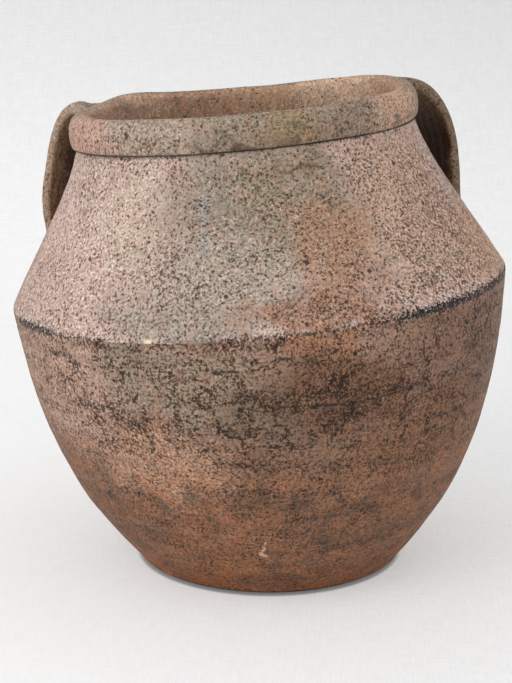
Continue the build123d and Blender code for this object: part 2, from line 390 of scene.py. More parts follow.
class Clay(Nodes):
    """One fired clay finish: colours laid over each other, with the clay's grit through them all."""

    def __init__(self, name, body, grains=900.0):
        self.material = bpy.data.materials.new(name)
        self.material.use_nodes = True
        super().__init__(self.material.node_tree)
        self.tree.nodes.clear()
        self.place = self.add("ShaderNodeTexCoord").outputs["Object"]
        self.frayed = self.wandering(34.0, 6.0, 0.66, 0.05)
        self.unsteady = self.wandering(190.0, 3.0, 0.6, 0.006)
        self.grains = grains
        self.grain = self.noise(self.place, 0.70 * grains, 2.8, 0.88)["Fac"]
        self.above_keel, self.off_axis = self.laid(lean_group)
        self.colour = tone(*body)
        self.height = 0.0

    def wandering(self, scale, detail, roughness, reach):
        """The place, pushed about by a noise, so that what is drawn by it has an uneven edge."""
        push = self.noise(self.place, scale, detail, roughness)["Color"]
        amounts = {0: self.vector("SUBTRACT", push, (0.5, 0.5, 0.5)), 1: (reach, reach, reach), 2: self.place}
        return self.add("ShaderNodeVectorMath", amounts, operation="MULTIPLY_ADD").outputs["Vector"]

    def laid(self, kind, **values):
        """A shared effect placed in this finish with its own values."""
        links = {label.replace("_", " "): value for label, value in {"Place": self.place, **values}.items()}
        return self.add("ShaderNodeGroup", links, node_tree=kind).outputs

    def lay(self, mask, colour, strength, blend):
        """Lays a colour over what is there, as far as the mask and its strength say."""
        if strength != 1.0:
            mask = self.both(mask, strength)
        self.colour = self.mix(mask, self.colour, colour, blend)

    def tint(self, mask, colour, strength=1.0):
        self.lay(mask, tone(*colour), strength, "MIX")

    def deepen(self, mask, shares, strength=1.0):
        """Multiplies the colour by a share of its red, green and blue, where the mask is."""
        self.lay(mask, (*shares, 1.0), strength, "MULTIPLY")

    def placed(self, centre, reach, grain=0.5, fray=0.0):
        """The mask of one stain: its centre as turn, radius and height, and its reach in millimetres."""
        values = {"Place": self.frayed, "Centre": spot(*centre), "Reach": tuple(r / 1000 for r in reach)}
        return self.laid(stain_group, Grain=grain, Fray=fray, **values)["Stain"]

    def stains(self, *rows):
        """Placed stains, each a centre, a reach, a colour, a strength and at times how frayed it is."""
        for centre, reach, colour, strength, *fray in rows:
            self.tint(self.placed(centre, reach, self.grain, *(fray or [1.6])), colour, strength)

    def gathered(self, soot, *rows):
        """Adds to the soot round places, each a centre, a reach and an amount."""
        for centre, reach, amount in rows:
            soot = self.calc("MULTIPLY_ADD", self.placed(centre, reach), amount, soot)
        return soot

    def marks(self, *rows):
        """Drawn marks, each from place to place, with half its width in millimetres, colour and strength."""
        for start, end, half_width, colour, strength in rows:
            ends = {"Start": spot(*start), "End": spot(*end), "Half_width": half_width / 1000}
            mask = self.laid(mark_group, Place=self.unsteady, Grain=self.grain, **ends)["Mark"]
            self.tint(mask, colour, strength)

    def clouded(self, per_metre, smoke, smoke_strength, blush, blush_strength):
        clouds = self.laid(cloud_group, Clouds_per_metre=per_metre)
        self.tint(clouds["Smoke"], smoke, smoke_strength)
        self.tint(clouds["Blush"], blush, blush_strength)

    def mottled(self, warm, cool, sooty, strength, sooty_strength):
        """Small warmer and cooler patches, and soft sooty spots, over the broad colours."""
        mottle = self.laid(mottle_group)
        self.tint(mottle["Warm"], warm, strength)
        self.tint(mottle["Cool"], cool, strength)
        self.tint(mottle["Sooty spot"], sooty, sooty_strength)

    def gritty(self, dark, pale, speck, specks, pits, soot=0.0):
        """Works the grit into the colour: its dark and pale grains, its specks and its pits."""
        values = {"Grains_per_metre": self.grains, "Speck_share": specks, "Pit_share": pits, "Soot": soot}
        grit = self.laid(grit_group, Grain=self.grain, **values)
        self.deepen(grit["Soft"], (0.70, 0.65, 0.61))
        self.deepen(grit["Dark"], (dark, dark * 0.76, dark * 0.60))
        self.deepen(grit["Pale"], (pale, pale * 1.07, pale * 1.13))
        self.tint(grit["Speck"], speck, 0.88)
        self.tint(grit["Pit"], [0.7 * c for c in speck], 0.88)
        self.raise_by(grit["Height"], 0.0006)

    def raise_by(self, value, amount):
        """Adds a value to the surface's height, in metres."""
        self.height = self.calc("MULTIPLY_ADD", value, amount, self.height)

    def finish(self, rough_low, rough_high):
        """The matt surface itself: a little glossier where the clay is dark and close."""
        lightness = self.add("ShaderNodeRGBToBW", {0: self.colour}).outputs[0]
        rough = self.step(lightness, 0.05, 0.4, rough_low, rough_high)
        bump = self.add("ShaderNodeBump", {"Height": self.height, "Distance": 1.0, "Strength": 1.0})
        surface = {"Base Color": self.colour, "Roughness": rough, "Normal": bump.outputs["Normal"]}
        skin = self.add("ShaderNodeBsdfPrincipled", surface)
        skin.inputs["Specular IOR Level"].default_value = 0.25
        self.add("ShaderNodeOutputMaterial", {"Surface": skin.outputs["BSDF"]})
        return self.material


def keel_line(clay):
    """The dark line of soot along the keel: strong at the left and right of the front, thin between."""
    height = clay.calc("ABSOLUTE", clay.calc("ADD", clay.above_keel, -0.0005))
    height = clay.calc("MULTIPLY_ADD", clay.calc("SUBTRACT", clay.grain, 0.5), -0.012, height)
    broken = clay.step(clay.grain, 0.34, 0.48)
    thin = clay.both(clay.step(height, 0.0013, 0.0005), broken)
    faint = clay.calc("MULTIPLY_ADD", clay.placed((-112, 150, 0), (42, 30, 20)), -0.7, 1.0)
    clay.tint(clay.both(thin, faint), (60, 50, 44), 0.75)
    broad = clay.both(clay.step(height, 0.0032, 0.0016), broken)
    for turn, reach in ((-150, (22, 30, 14)), (-45, (45, 45, 30)), (-18, (22, 40, 20)), (100, (60, 30, 20))):
        near_turn = clay.placed((turn, 150, 0), reach)
        clay.tint(clay.both(broad, near_turn), (44, 46, 50), 0.95)


def body_clay(name):
    """The finish that the foot and the bowl share: red-brown below, mauve and grey above, sooted in bands."""
    clay = Clay(name, (171, 141, 123))
    level = clay.add("ShaderNodeSeparateXYZ", {0: clay.frayed}).outputs["Z"]
    clay.tint(clay.step(level, 0.135, 0.085), (157, 118, 92))
    clay.tint(clay.step(level, 0.085, 0.035), (160, 112, 80))
    clay.tint(clay.step(level, 0.030, 0.010), (154, 95, 54))
    clay.clouded(13.0, (122, 102, 88), 0.5, (170, 126, 100), 0.45)
    clay.stains(
        ((-145, 148, -25), (50, 60, 45), (202, 170, 153), 0.8),
        ((-112, 148, -22), (45, 40, 26), (168, 151, 134), 0.8),
        ((-98, 148, -30), (40, 40, 22), (166, 147, 126), 0.75),
        ((-76, 149, -6), (26, 30, 9), (188, 137, 107), 0.75),
        ((-72, 146, -36), (48, 40, 24), (124, 88, 63), 0.85),
        ((-90, 146, -45), (30, 40, 14), (120, 100, 84), 0.6),
        ((-40, 146, -35), (40, 60, 45), (146, 112, 94), 0.75),
        ((-48, 138, -72), (50, 50, 26), (142, 102, 75), 0.7),
        ((-119, 137, -76), (50, 50, 22), (205, 165, 140), 0.8),
        ((-90, 137, -85), (30, 40, 14), (126, 102, 86), 0.5),
        ((60, 148, -30), (50, 50, 35), (116, 100, 88), 0.7),
        ((150, 146, -45), (45, 60, 40), (176, 130, 102), 0.7),
        ((105, 135, -90), (60, 60, 25), (126, 98, 82), 0.6),
    )
    clay.mottled((184, 130, 98), (128, 114, 96), (84, 72, 64), 0.26, 0.5)
    low = clay.step(level, 0.112, 0.078)
    for clouds_per_metre, strength in ((48.0, 0.5), (120.0, 0.4)):
        blotches = clay.laid(cloud_group, Clouds_per_metre=clouds_per_metre)
        clay.tint(clay.both(blotches["Smoke"], low), (98, 80, 66), strength)
        clay.tint(clay.both(blotches["Blush"], low), (190, 128, 88), strength * 0.8)
    low_spots = (
        (-108, 121, -108), (-97, 122, -106), (-81, 120, -111), (-68, 122, -106), (-49, 121, -107),
        (-93.5, 113, -127), (-71, 111, -130), (-92, 124, -101), (-121, 124, -99), (-60, 116, -120),
    )
    clay.stains(*((centre, (5, 5, 3.4), (82, 76, 70), 0.6, 2.4) for centre in low_spots))
    above = clay.step(level, 0.07, 0.12)
    cracks = clay.laid(crack_group, Place=clay.unsteady, Cells_per_metre=72.0, Cover=0.55)
    streaks = clay.laid(streak_group, Lines_per_metre=130.0, Length_share=0.06)
    clay.deepen(streaks["Streak"], (0.78, 0.75, 0.73), 0.45)
    smears = clay.laid(streak_group, Lines_per_metre=52.0, Length_share=0.16)["Streak"]
    clay.deepen(clay.both(smears, clay.step(level, 0.11, 0.06)), (0.70, 0.68, 0.68), 0.6)
    broken = clay.both(above, clay.step(clay.grain, 0.38, 0.50))
    clay.tint(clay.both(cracks["Crack"], broken), (54, 39, 30), 0.75)
    clay.tint(streaks["Line"], (58, 45, 37), 0.75)
    clay.marks(
        ((-99.5, 149, -17), (-94, 149, -17.5), 0.7, (50, 42, 38), 0.9),
        ((-88, 149, -12), (-80, 149, -12), 0.6, (52, 44, 40), 0.8),
        ((-80, 145, -41), (-69, 145, -43), 0.9, (46, 42, 42), 0.9),
        ((-69, 145, -43), (-60, 145, -42), 0.8, (46, 42, 42), 0.8),
    )
    # Painted contact shade: the lowest few millimetres of the jar are darkened where it meets the cloth.
    ground = clay.add("ShaderNodeSeparateXYZ", {0: clay.place}).outputs["Z"]
    clay.tint(clay.step(ground, 0.0040, 0.0012), (78, 52, 36), 0.85)
    keel_line(clay)
    soot = clay.both(clay.both(cracks["Soot"], above), 0.09)
    soot = clay.calc("MULTIPLY_ADD", streaks["Streak"], 0.05, soot)
    soot = clay.calc("ADD", soot, clay.step(level, 0.12, 0.03, 0.0, -0.012))
    soot = clay.gathered(
        soot,
        ((-70, 147, -34), (50, 40, 26), 0.04),
        ((-100, 147, -24), (70, 40, 30), -0.012),
        ((-140, 140, -50), (40, 60, 50), -0.012),
    )
    clay.gritty(0.28, 1.40, (56, 38, 28), 0.5, 0.3, soot)
    clay.marks(
        ((-113.5, 149, -4), (-113.3, 149, -4.6), 0.7, (232, 216, 184), 0.9),
        ((-112.3, 149, -6.5), (-112.2, 149, -7), 0.5, (222, 204, 170), 0.8),
        ((-112.6, 142, -58), (-112.2, 142, -57), 1.0, (225, 205, 180), 0.9),
        ((-109.2, 142, -56), (-108.9, 142, -56.5), 1.1, (230, 210, 185), 0.9),
        ((-19.5, 145.5, -37), (-19.5, 145, -40), 1.1, (215, 190, 160), 0.9),
        ((-145.5, 146.5, -31), (-145, 145.5, -36), 0.7, (215, 190, 170), 0.8),
        ((-92.4, 115.6, -124.2), (-94.0, 112.0, -130.3), 0.8, (222, 178, 148), 0.9),
        ((-94.0, 112.0, -130.3), (-95.6, 107.6, -137.4), 1.0, (226, 184, 152), 0.95),
        ((-95.6, 107.8, -137.0), (-94.0, 106.8, -138.5), 1.0, (226, 184, 152), 0.9),
    )
    clay.raise_by(streaks["Streak"], -0.0003)
    clay.raise_by(cracks["Crack"], -0.0003)
    return clay.finish(0.62, 0.9)


foot = ring_mesh("foot_dish_clay", foot_rings(), closed=False)
foot.data.materials.append(body_clay("foot clay"))
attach(foot, "root")
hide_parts("foot_dish")

# The bowl: the wall thrown up from the foot to the keel, in the same coarse
# clay. The fire left it red-brown below, grey and charcoal above, with level
# smears of soot, and the drying clay opened a net of fine cracks.

BOWL_ROWS_OUT = 100
BOWL_ROWS_IN = 34
BOWL_FULLER = 0.0007
FINGER_DEPTH, FINGER_PITCH = 0.0006, 0.011


def bowl_rings():
    """Up the outside from the foot's seam to the keel, then down the inside."""
    low_out, low_in = share_at(FOOT_HEIGHT, 0), share_at(FOOT_HEIGHT, WALL)
    shares = np.array([low_out + (1 - low_out) * step / BOWL_ROWS_OUT for step in range(BOWL_ROWS_OUT + 1)])
    outside = np.array([bowl_skin(share, 0) for share in shares])
    fuller = BOWL_FULLER * np.sin(np.pi * np.clip((shares - 0.17) / 0.25, 0, 1)) ** 2
    outside = drawn_in(outside, KEEL_DRIFT * shares**DRIFT_POWER, uneven(outside) - fuller)
    steps = np.arange(BOWL_ROWS_IN + 1)
    inside = np.array([bowl_skin(1 + (low_in - 1) * step / BOWL_ROWS_IN, WALL) for step in steps])
    fingers = FINGER_DEPTH * np.sin(inside[..., 2] * 2 * np.pi / FINGER_PITCH + TURN)
    fade = np.minimum(1, np.minimum(steps, BOWL_ROWS_IN - steps) / 3)[:, None]
    inside = drawn_in(inside, 0 * inside[..., 2], fingers * fade)
    return list(outside) + list(inside)


bowl = ring_mesh("bowl_wall_clay", bowl_rings(), closed=True)
bowl.data.materials.append(body_clay("bowl clay"))
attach(bowl, "root")
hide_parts("bowl_wall")

# The shoulder: a cone of finer, paler clay closed in over the bowl, with the
# keel at its foot. It is densely flecked with dark grit, pink where the flame
# was clear and grey-beige where smoke lay on it.

SHOULDER_RISE = 0.0937
SHOULDER_SAG = 0.0033
SHOULDER_FINGER_DEPTH, SHOULDER_FINGER_PITCH = 0.0005, 0.010
NECK_RADIUS = 0.1015
NECK_TONGUE = 0.006
KEEL_EDGE = 0.006
KEEL_INNER = 0.014
KEEL_INSIDE = KEEL_RADIUS - WALL * math.hypot(1, TAPER_SHARE * BOWL_FLARE / KEEL_HEIGHT)


def leaning(radius, turn, height):
    """Points of the leaning upper half, from their radius, turn and height above the keel."""
    return np.stack(np.broadcast_arrays(*leaned(radius * np.cos(turn), radius * np.sin(turn), height)), -1)


def shoulder_turn(keel, edge, neck):
    """How far the keel's edge turns, in radians, before the straight slope to the neck starts."""
    across = neck - (keel - edge)
    return math.atan2(SHOULDER_RISE, across) - math.acos(edge / math.hypot(across, SHOULDER_RISE))


def curve_point(pulls, t):
    """The point at a share t of the way along the smooth curve that four points pull."""
    weights = ((1 - t) ** 3, 3 * t * (1 - t) ** 2, 3 * t**2 * (1 - t), t**3)
    return tuple(sum(w * pull[k] for w, pull in zip(weights, pulls)) for k in (0, 1))


def shoulder_line(keel, edge, neck, edge_steps, steps):
    """Radius and height up the shoulder: round the keel's edge, then the drawn-in slope to the neck."""
    turn = shoulder_turn(keel, edge, neck)
    turns = [turn * i / edge_steps for i in range(edge_steps)] + [turn]
    line = [(keel - edge + edge * math.cos(t), edge * math.sin(t)) for t in turns]
    bend, top = np.array(line.pop()), np.array([neck, SHOULDER_RISE])
    sag = np.array([SHOULDER_SAG * 9 / 4, 0])
    pulls = [bend, bend + (top - bend) / 3, bend + (top - bend) * 2 / 3 - sag, top]
    line += [curve_point(pulls, i / steps) for i in range(steps + 1)]
    return line + [(neck, SHOULDER_RISE + NECK_TONGUE)]


NECK_INSIDE = NECK_RADIUS - WALL / math.cos(shoulder_turn(KEEL_RADIUS, KEEL_EDGE, NECK_RADIUS))


def shoulder_rings():
    """Up the outside from the keel to the tongue under the rim, then down the inside."""
    line = shoulder_line(KEEL_RADIUS, KEEL_EDGE, NECK_RADIUS, 8, 84)
    outside = np.array([leaning(radius, TURN, height) for radius, height in line])
    centre = np.array([[KEEL_DRIFT - height * math.sin(LEAN)] for radius, height in line])
    outside = drawn_in(outside, centre, uneven(outside))
    line = shoulder_line(KEEL_INSIDE, KEEL_INNER, NECK_INSIDE, 8, 30)
    inside = []
    for i, (radius, height) in enumerate(reversed(line)):
        finger = SHOULDER_FINGER_DEPTH * math.sin(height * 2 * math.pi / SHOULDER_FINGER_PITCH)
        inside.append(leaning(radius - finger * min(1, i / 3, (len(line) - 1 - i) / 3), TURN, height))
    return list(outside) + inside


clay = Clay("shoulder clay", (214, 188, 177))
clay.clouded(11.0, (184, 164, 147), 0.45, (208, 172, 158), 0.4)
clay.stains(
    ((-45, 121, 52), (45, 60, 50), (205, 172, 151), 0.9),
    ((-122, 119, 58), (30, 30, 34), (212, 194, 176), 0.6),
    ((-86, 114, 66), (54, 40, 42), (153, 141, 126), 0.95),
    ((-98, 137, 26), (48, 40, 34), (182, 168, 154), 0.9),
    ((-110, 145, 10), (40, 40, 12), (168, 156, 146), 0.75),
    ((-78, 112, 66), (30, 40, 36), (160, 143, 120), 0.6),
    ((-70, 129, 36), (26, 30, 36), (179, 140, 114), 0.9),
    ((-76, 147, 7), (52, 30, 10), (170, 128, 103), 0.85),
    ((-20, 138, 22), (26, 40, 32), (216, 177, 152), 0.9),
    ((-71, 107, 80), (22, 12, 4), (124, 98, 76), 0.4),
    ((70, 125, 45), (70, 50, 40), (172, 154, 138), 0.8),
    ((130, 118, 60), (40, 50, 35), (200, 160, 138), 0.7),
    ((165, 135, 25), (30, 60, 25), (180, 154, 140), 0.7),
)
clay.mottled((206, 166, 146), (174, 164, 154), (122, 106, 98), 0.28, 0.35)
cracks = clay.laid(crack_group, Place=clay.unsteady, Cells_per_metre=62.0, Cover=0.2)
clay.marks(
    ((-102.5, 110, 71), (-101.5, 119, 58), 2.2, (172, 169, 172), 0.4),
    ((-101.5, 119, 58), (-102.5, 128, 40), 2.6, (164, 161, 164), 0.35),
    ((-37.5, 103, 92), (-37, 107, 84), 1.7, (184, 182, 184), 0.6),
    ((-77, 106, 80), (-73, 105, 84), 0.9, (100, 74, 54), 0.75),
    ((-73, 105, 84), (-67, 107, 81), 1.0, (104, 78, 56), 0.75),
)
keel_line(clay)
soot = clay.gathered(
    clay.both(cracks["Soot"], 0.05),
    ((-30, 128, 40), (50, 60, 45), 0.04),
    ((-60, 146, 7), (75, 40, 11), 0.045),
    ((-112, 138, 24), (34, 30, 16), 0.02),
    ((-150, 130, 40), (40, 50, 40), -0.01),
    ((-124, 114, 64), (34, 30, 32), -0.025),
)
clay.gritty(0.22, 1.55, (78, 56, 42), 0.72, 0.34, soot)
clay.marks(
    ((-136.4, 103.1, 89.8), (-140.0, 109.3, 75.1), 0.6, (96, 70, 60), 0.75),
    ((-140.0, 109.3, 75.1), (-142.9, 117.0, 60.0), 0.6, (96, 70, 60), 0.75),
    ((-138.9, 106.4, 81.6), (-143.3, 113.7, 66.2), 0.45, (104, 78, 68), 0.6),
    ((-134.5, 109.5, 74.5), (-130.6, 113.0, 67.5), 0.5, (92, 66, 56), 0.75),
    ((-130.6, 113.0, 67.5), (-128.5, 114.5, 64.6), 0.6, (92, 66, 56), 0.7),
    ((-100.9, 106.8, 80.5), (-100.2, 108, 77), 0.5, (240, 232, 222), 0.9),
    ((-113.9, 150, 1.6), (-111.2, 150, 1.8), 1.5, (206, 188, 156), 0.85),
    ((-113.4, 150, 0.8), (-112.8, 150, 1.4), 1.2, (242, 230, 202), 0.95),
)
# Painted shade: a dark band on the shoulder just under the rim, where the groove under the roll lies in
# shade.
groove_painted_shade = clay.step(clay.above_keel, SHOULDER_RISE - 0.0009, SHOULDER_RISE - 0.0001)
clay.tint(groove_painted_shade, (46, 34, 26), 0.9)
clay.raise_by(cracks["Crack"], -0.0002)

shoulder = ring_mesh("shoulder_wall_clay", shoulder_rings(), closed=True)
shoulder.data.materials.append(clay.finish(0.75, 0.95))
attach(shoulder, "root")
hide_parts("shoulder_wall")

# The rim: a coil of clay rolled outwards over the neck and pressed down, so a
# thin groove is left under it, darkened with painted shade. It rides up beside
# each handle, and the back of it has sunk.

RIM_HEIGHT = 0.019
RIM_OVERHANG = 0.0012
RIM_BULGE = 0.0018
RIM_INSET = 0.0008
RIM_RISES = ((0.0031, 25.0, 12), (0.0034, 138.5, 48), (-0.0023, 95.0, 12), (0.0013, 108.0, 20))
RIM_BASE = SHOULDER_RISE + 0.0006
RIM_OUTSIDE = NECK_RADIUS + RIM_OVERHANG
RIM_INSIDE = NECK_INSIDE - RIM_INSET
RIM_CREST = RIM_INSIDE + (RIM_OUTSIDE - RIM_INSIDE) * 0.55
RIM_FULL = RIM_OUTSIDE + RIM_BULGE
LIP_HEIGHT = 0.010
LIP_SWELL = 0.0010
LIP_DROOP, LEFT_DROOP = 0.0006, 0.0017
RIM_DENTS = (
    ((112.9, 92, 112), 0.0045, 0.0011),
    ((5, 88, 113), 0.011, 0.0008),
    ((-128, 104.5, 105), 0.0018, 0.0009),
)


def near(turn, middle):
    """1 at the middle's turn in degrees, falling to 0 on the far side."""
    return (1 + np.cos(turn - math.radians(middle))) / 2


def rim_lift(turn):
    """How far the rim stands above its level ring at a turn in radians."""
    return sum(high * near(turn, middle) ** power for high, middle, power in RIM_RISES)


def rim_section():
    """The roll's outline from the neck, under the lip, up its face, over and down into the mouth."""
    corners = [
        (NECK_RADIUS - 0.0010, 0.0012), (NECK_RADIUS + 0.0004, 0.0004),
        (RIM_OUTSIDE + 0.0002, 0.0010), (RIM_OUTSIDE + 0.0012, 0.0035),
        (RIM_FULL, RIM_HEIGHT * 0.48), (RIM_FULL - 0.0010, RIM_HEIGHT * 0.76),
        (RIM_OUTSIDE - 0.0020, RIM_HEIGHT * 0.95), (RIM_CREST, RIM_HEIGHT),
        (RIM_INSIDE + 0.0016, RIM_HEIGHT * 0.90), (RIM_INSIDE, RIM_HEIGHT * 0.62), (RIM_INSIDE, 0.0004),
    ]
    curve = bpy.data.curves.new("rim outline", "CURVE")
    spline = curve.splines.new("NURBS")
    spline.points.add(len(corners) - 1)
    for point, (radius, height) in zip(spline.points, corners):
        point.co = (radius, height, 0, 1)
    spline.order_u = 3
    spline.use_endpoint_u = True
    spline.resolution_u = 7
    holder = linked("rim outline", curve)
    mesh = bpy.data.meshes.new_from_object(holder)
    line = [tuple(v.co[:2]) for v in mesh.vertices]
    bpy.data.objects.remove(holder)
    bpy.data.curves.remove(curve)
    bpy.data.meshes.remove(mesh)
    return line + [(RIM_INSIDE + 0.003, 0.0), (NECK_RADIUS - 0.0016, 0.0)]


def pressed(points, places):
    """How deep small round dents and chips go, each a spot, a radius and a depth."""
    drawn = np.zeros(points.shape[:-1])
    for place, radius, depth in places:
        off = np.linalg.norm(points - np.array(spot(*place)), axis=-1) / radius
        drawn = np.maximum(drawn, depth * np.clip(1 - off**2, 0, None) ** 1.5)
    return drawn


def rim_rings():
    """The roll's outline carried round the mouth, rising, drooping and dented as the real one is."""
    lift, swell = rim_lift(TURN), LIP_SWELL * near(TURN, 180) ** 2
    droop = LIP_DROOP + LEFT_DROOP * near(TURN, -135) ** 8
    rings = []
    for radius, height in rim_section():
        lip = np.clip(1 - height / LIP_HEIGHT, 0, 1) * (radius > NECK_RADIUS - 0.0012)
        outer = (radius > RIM_CREST) * swell
        level = RIM_BASE + lift + height - lip * droop
        rings.append(leaning(radius + outer + lip * droop * 0.45, TURN, level))
    rings = np.array(rings)
    middle = leaning((RIM_INSIDE + RIM_FULL) / 2 + 0 * TURN, TURN, RIM_BASE + lift + RIM_HEIGHT / 2)
    inwards = middle[None] - rings
    inwards /= np.linalg.norm(inwards, axis=-1, keepdims=True)
    drawn = uneven(rings, lump=0.0006, ripple=0.0) + pressed(rings, RIM_DENTS)
    return list(rings + inwards * drawn[..., None])


clay = Clay("rim clay", (180, 160, 143), grains=860.0)
clay.clouded(16.0, (152, 136, 118), 0.5, (182, 148, 128), 0.5)
clay.stains(
    ((-150, 104, 104), (24, 40, 20), (210, 171, 155), 0.9),
    ((-117, 104, 106), (30, 30, 20), (186, 170, 156), 0.8),
    ((-93, 104, 106), (24, 30, 20), (160, 148, 132), 0.8),
    ((-74, 104, 105), (17, 30, 12), (160, 141, 110), 0.85),
    ((-56, 104, 106), (15, 30, 20), (156, 137, 122), 0.9),
    ((-33, 104, 104), (19, 40, 20), (222, 183, 158), 0.85),
    ((-97, 104, 97), (18, 14, 3.4), (66, 62, 50), 0.8, 2.6),
    ((-84, 104, 96), (24, 14, 2.6), (74, 64, 52), 0.65, 2.6),
    ((-33, 104, 96), (6, 12, 2.4), (84, 76, 72), 0.6),
    ((125, 97, 112), (26, 30, 6), (128, 118, 108), 0.5),
)
inner = clay.step(clay.off_axis, 0.0950, 0.0925)
clay.tint(inner, (190, 153, 125))
clay.stains(
    ((112, 91, 105), (26, 20, 10), (180, 142, 120), 0.7),
    ((138, 91, 105), (26, 20, 12), (224, 187, 164), 0.8),
    ((155, 91, 104), (26, 30, 12), (200, 164, 144), 0.8),
    ((44, 91, 106), (40, 30, 20), (226, 194, 170), 0.8),
    ((146, 91, 107), (8, 14, 4), (120, 92, 80), 0.45),
    ((134, 91, 103), (9, 14, 4), (122, 94, 82), 0.4),
    ((123, 91, 106), (9, 14, 4), (122, 94, 82), 0.4),
    ((106, 91, 108), (10, 14, 3), (130, 100, 84), 0.5),
)
upright = clay.laid(streak_group, Lines_per_metre=70.0, Length_share=5.5)["Streak"]
low_face = clay.step(clay.above_keel, RIM_BASE + 0.013, RIM_BASE + 0.004)
clay.tint(clay.both(upright, low_face), (134, 106, 88), 0.5)
creases = clay.laid(streak_group, Lines_per_metre=56.0, Length_share=6.5)["Line"]
creases = clay.both(creases, low_face)
clay.tint(creases, (78, 56, 46), 0.8)
clay.raise_by(creases, -0.0003)
clay.mottled((188, 148, 122), (142, 134, 116), (96, 84, 74), 0.3, 0.4)
clay.gritty(0.34, 1.35, (80, 58, 44), 0.45, 0.18, clay.both(inner, -0.09))
# Painted shade: a dark band at the foot of the rim's roll, in the groove where it meets the shoulder.
groove_painted_shade = clay.step(clay.above_keel, SHOULDER_RISE + 0.0009, SHOULDER_RISE + 0.0001)
clay.tint(groove_painted_shade, (46, 34, 26), 0.85)
clay.marks(((-128, 104.3, 105.5), (-127.7, 104.3, 103.5), 1.3, (52, 44, 38), 0.95))

rim = ring_mesh("rim_roll_clay", rim_rings(), closed=True)
rim.data.materials.append(clay.finish(0.7, 0.92))
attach(rim, "root")
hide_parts("rim_roll")

# The handles: two flat straps pulled from wet clay, pressed onto the rim's
# crest and smeared down onto the shoulder. Their edges are tan and their
# inner faces nearly black with smoke and painted shade.

STRAP_WIDTH = 0.040
STRAP_THICKNESS = 0.0085
STRAP_EDGE_SHARE = 0.42
STRAP_ROWS = 110
RIM_FLARE = 0.004
SHOULDER_FLARE = 0.002
SHOULDER_PAD = 0.0015
FLARE_POWER = 5.0
ROOT_OVERHANG = 0.002
FOOT_SMEAR, FOOT_TUCK = 0.005, 0.0034
RIDGE_HEIGHT, RIDGE_PITCH = 0.0003, 0.0085
STRAP_PRESSES = (
    ((-0.1185, 0.039, 0.279), 0.0085, (0.0, 0.0, 0.0015)),
    ((-0.1445, 0.049, 0.2225), 0.011, (-0.0008, 0.0, 0.0)),
    ((-0.1445, 0.050, 0.195), 0.010, (0.0019, 0.0, 0.0)),
    ((0.1226, 0.0487, 0.2215), 0.009, (-0.0006, 0.0, 0.0)),
)


def strap_path(azimuth, step, sink, hump, inset, bend_drop, fullness, side_fullness):
    """Points and headings of the strap's middle line in its upright plane, evenly along it."""
    top = RIM_BASE + RIM_HEIGHT + rim_lift(math.radians(azimuth)) + step - STRAP_THICKNESS / 2
    root, middle, drop = NECK_RADIUS + ROOT_OVERHANG, KEEL_RADIUS - inset, top - bend_drop
    landing = SHOULDER_RISE * inset / (KEEL_RADIUS - NECK_RADIUS) - 0.006
    pulls = (
        (root, top - sink), (root + (middle - root) * fullness, top + hump),
        (middle, drop + bend_drop * side_fullness), (middle, drop),
    )
    bend = [curve_point(pulls, t) for t in np.linspace(0, 1, 60)]
    line = np.array([(RIM_CREST - 0.002, top - sink * 1.6), *bend, (middle, landing)])
    lengths = np.concatenate([[0], np.cumsum(np.linalg.norm(np.diff(line, axis=0), axis=1))])
    along = np.linspace(0, lengths[-1], STRAP_ROWS)
    points = np.stack([np.interp(along, lengths, line[:, k]) for k in (0, 1)], -1)
    headings = np.gradient(points, axis=0)
    return points, headings / np.linalg.norm(headings, axis=1, keepdims=True)


def strap_outline(width, thickness, edge, steps=9, flats=12):
    """A rounded flat section: across the strap and through it, evenly stepped."""
    line = []
    half, deep = width / 2 - edge, thickness / 2 - edge
    for corner, (sx, sy) in enumerate(((1, 1), (-1, 1), (-1, -1), (1, -1))):
        for i in range(steps):
            angle = math.pi / 2 * (corner + i / (steps - 1))
            line.append((sx * half + edge * math.cos(angle), sy * deep + edge * math.sin(angle)))
        if corner in (0, 2):
            for i in range(1, flats):
                line.append((sx * half * (1 - 2 * i / flats), sy * (deep + edge)))
    return np.array(line)


def strap(name, azimuth, roll, **path):
    """One handle, with the lengthwise ridges that pulling the clay left on it."""
    turn = math.radians(azimuth)
    points, headings = strap_path(azimuth, **path)
    rings = []
    for i in range(STRAP_ROWS):
        share = i / (STRAP_ROWS - 1)
        flare = RIM_FLARE * (1 - share) ** FLARE_POWER + SHOULDER_FLARE * share**FLARE_POWER
        smeared = max(0, share / 0.22 - 3.545) ** 2
        thickness = STRAP_THICKNESS + SHOULDER_PAD * share**FLARE_POWER
        thickness *= 1 - 0.5 * max(0, 1 - share / 0.09) ** 2
        width = STRAP_WIDTH + flare + FOOT_SMEAR * smeared
        wide, deep = strap_outline(width, thickness, thickness * STRAP_EDGE_SHARE).T
        ridges = RIDGE_HEIGHT * (1 + np.cos(wide * 2 * math.pi / RIDGE_PITCH))
        deep = deep - np.sign(deep) * (ridges * (np.abs(deep) > thickness * 0.4))
        tilt = -math.radians(roll * (1 - share) ** 3) * math.copysign(1, math.cos(turn))
        through = wide * math.sin(tilt) + deep * math.cos(tilt)
        wide = wide * math.cos(tilt) - deep * math.sin(tilt)
        radius = points[i, 0] - headings[i, 1] * through - FOOT_TUCK * smeared
        height = points[i, 1] + headings[i, 0] * through
        across = radius * math.cos(turn) - wide * math.sin(turn)
        side = radius * math.sin(turn) + wide * math.cos(turn)
        rings.append(np.stack(leaned(across, side, height), -1))
    rings = np.array(rings)
    for place, reach, move in STRAP_PRESSES:
        rings = rings + np.exp(-np.sum((rings - place) ** 2, axis=-1) / reach**2)[..., None] * move
    inwards = rings.mean(axis=1, keepdims=True) - rings
    inwards /= np.linalg.norm(inwards, axis=-1, keepdims=True)
    rings = rings + inwards * uneven(rings, lump=0.0006, ripple=0.0)[..., None]
    return ring_mesh(name, rings, closed=False)


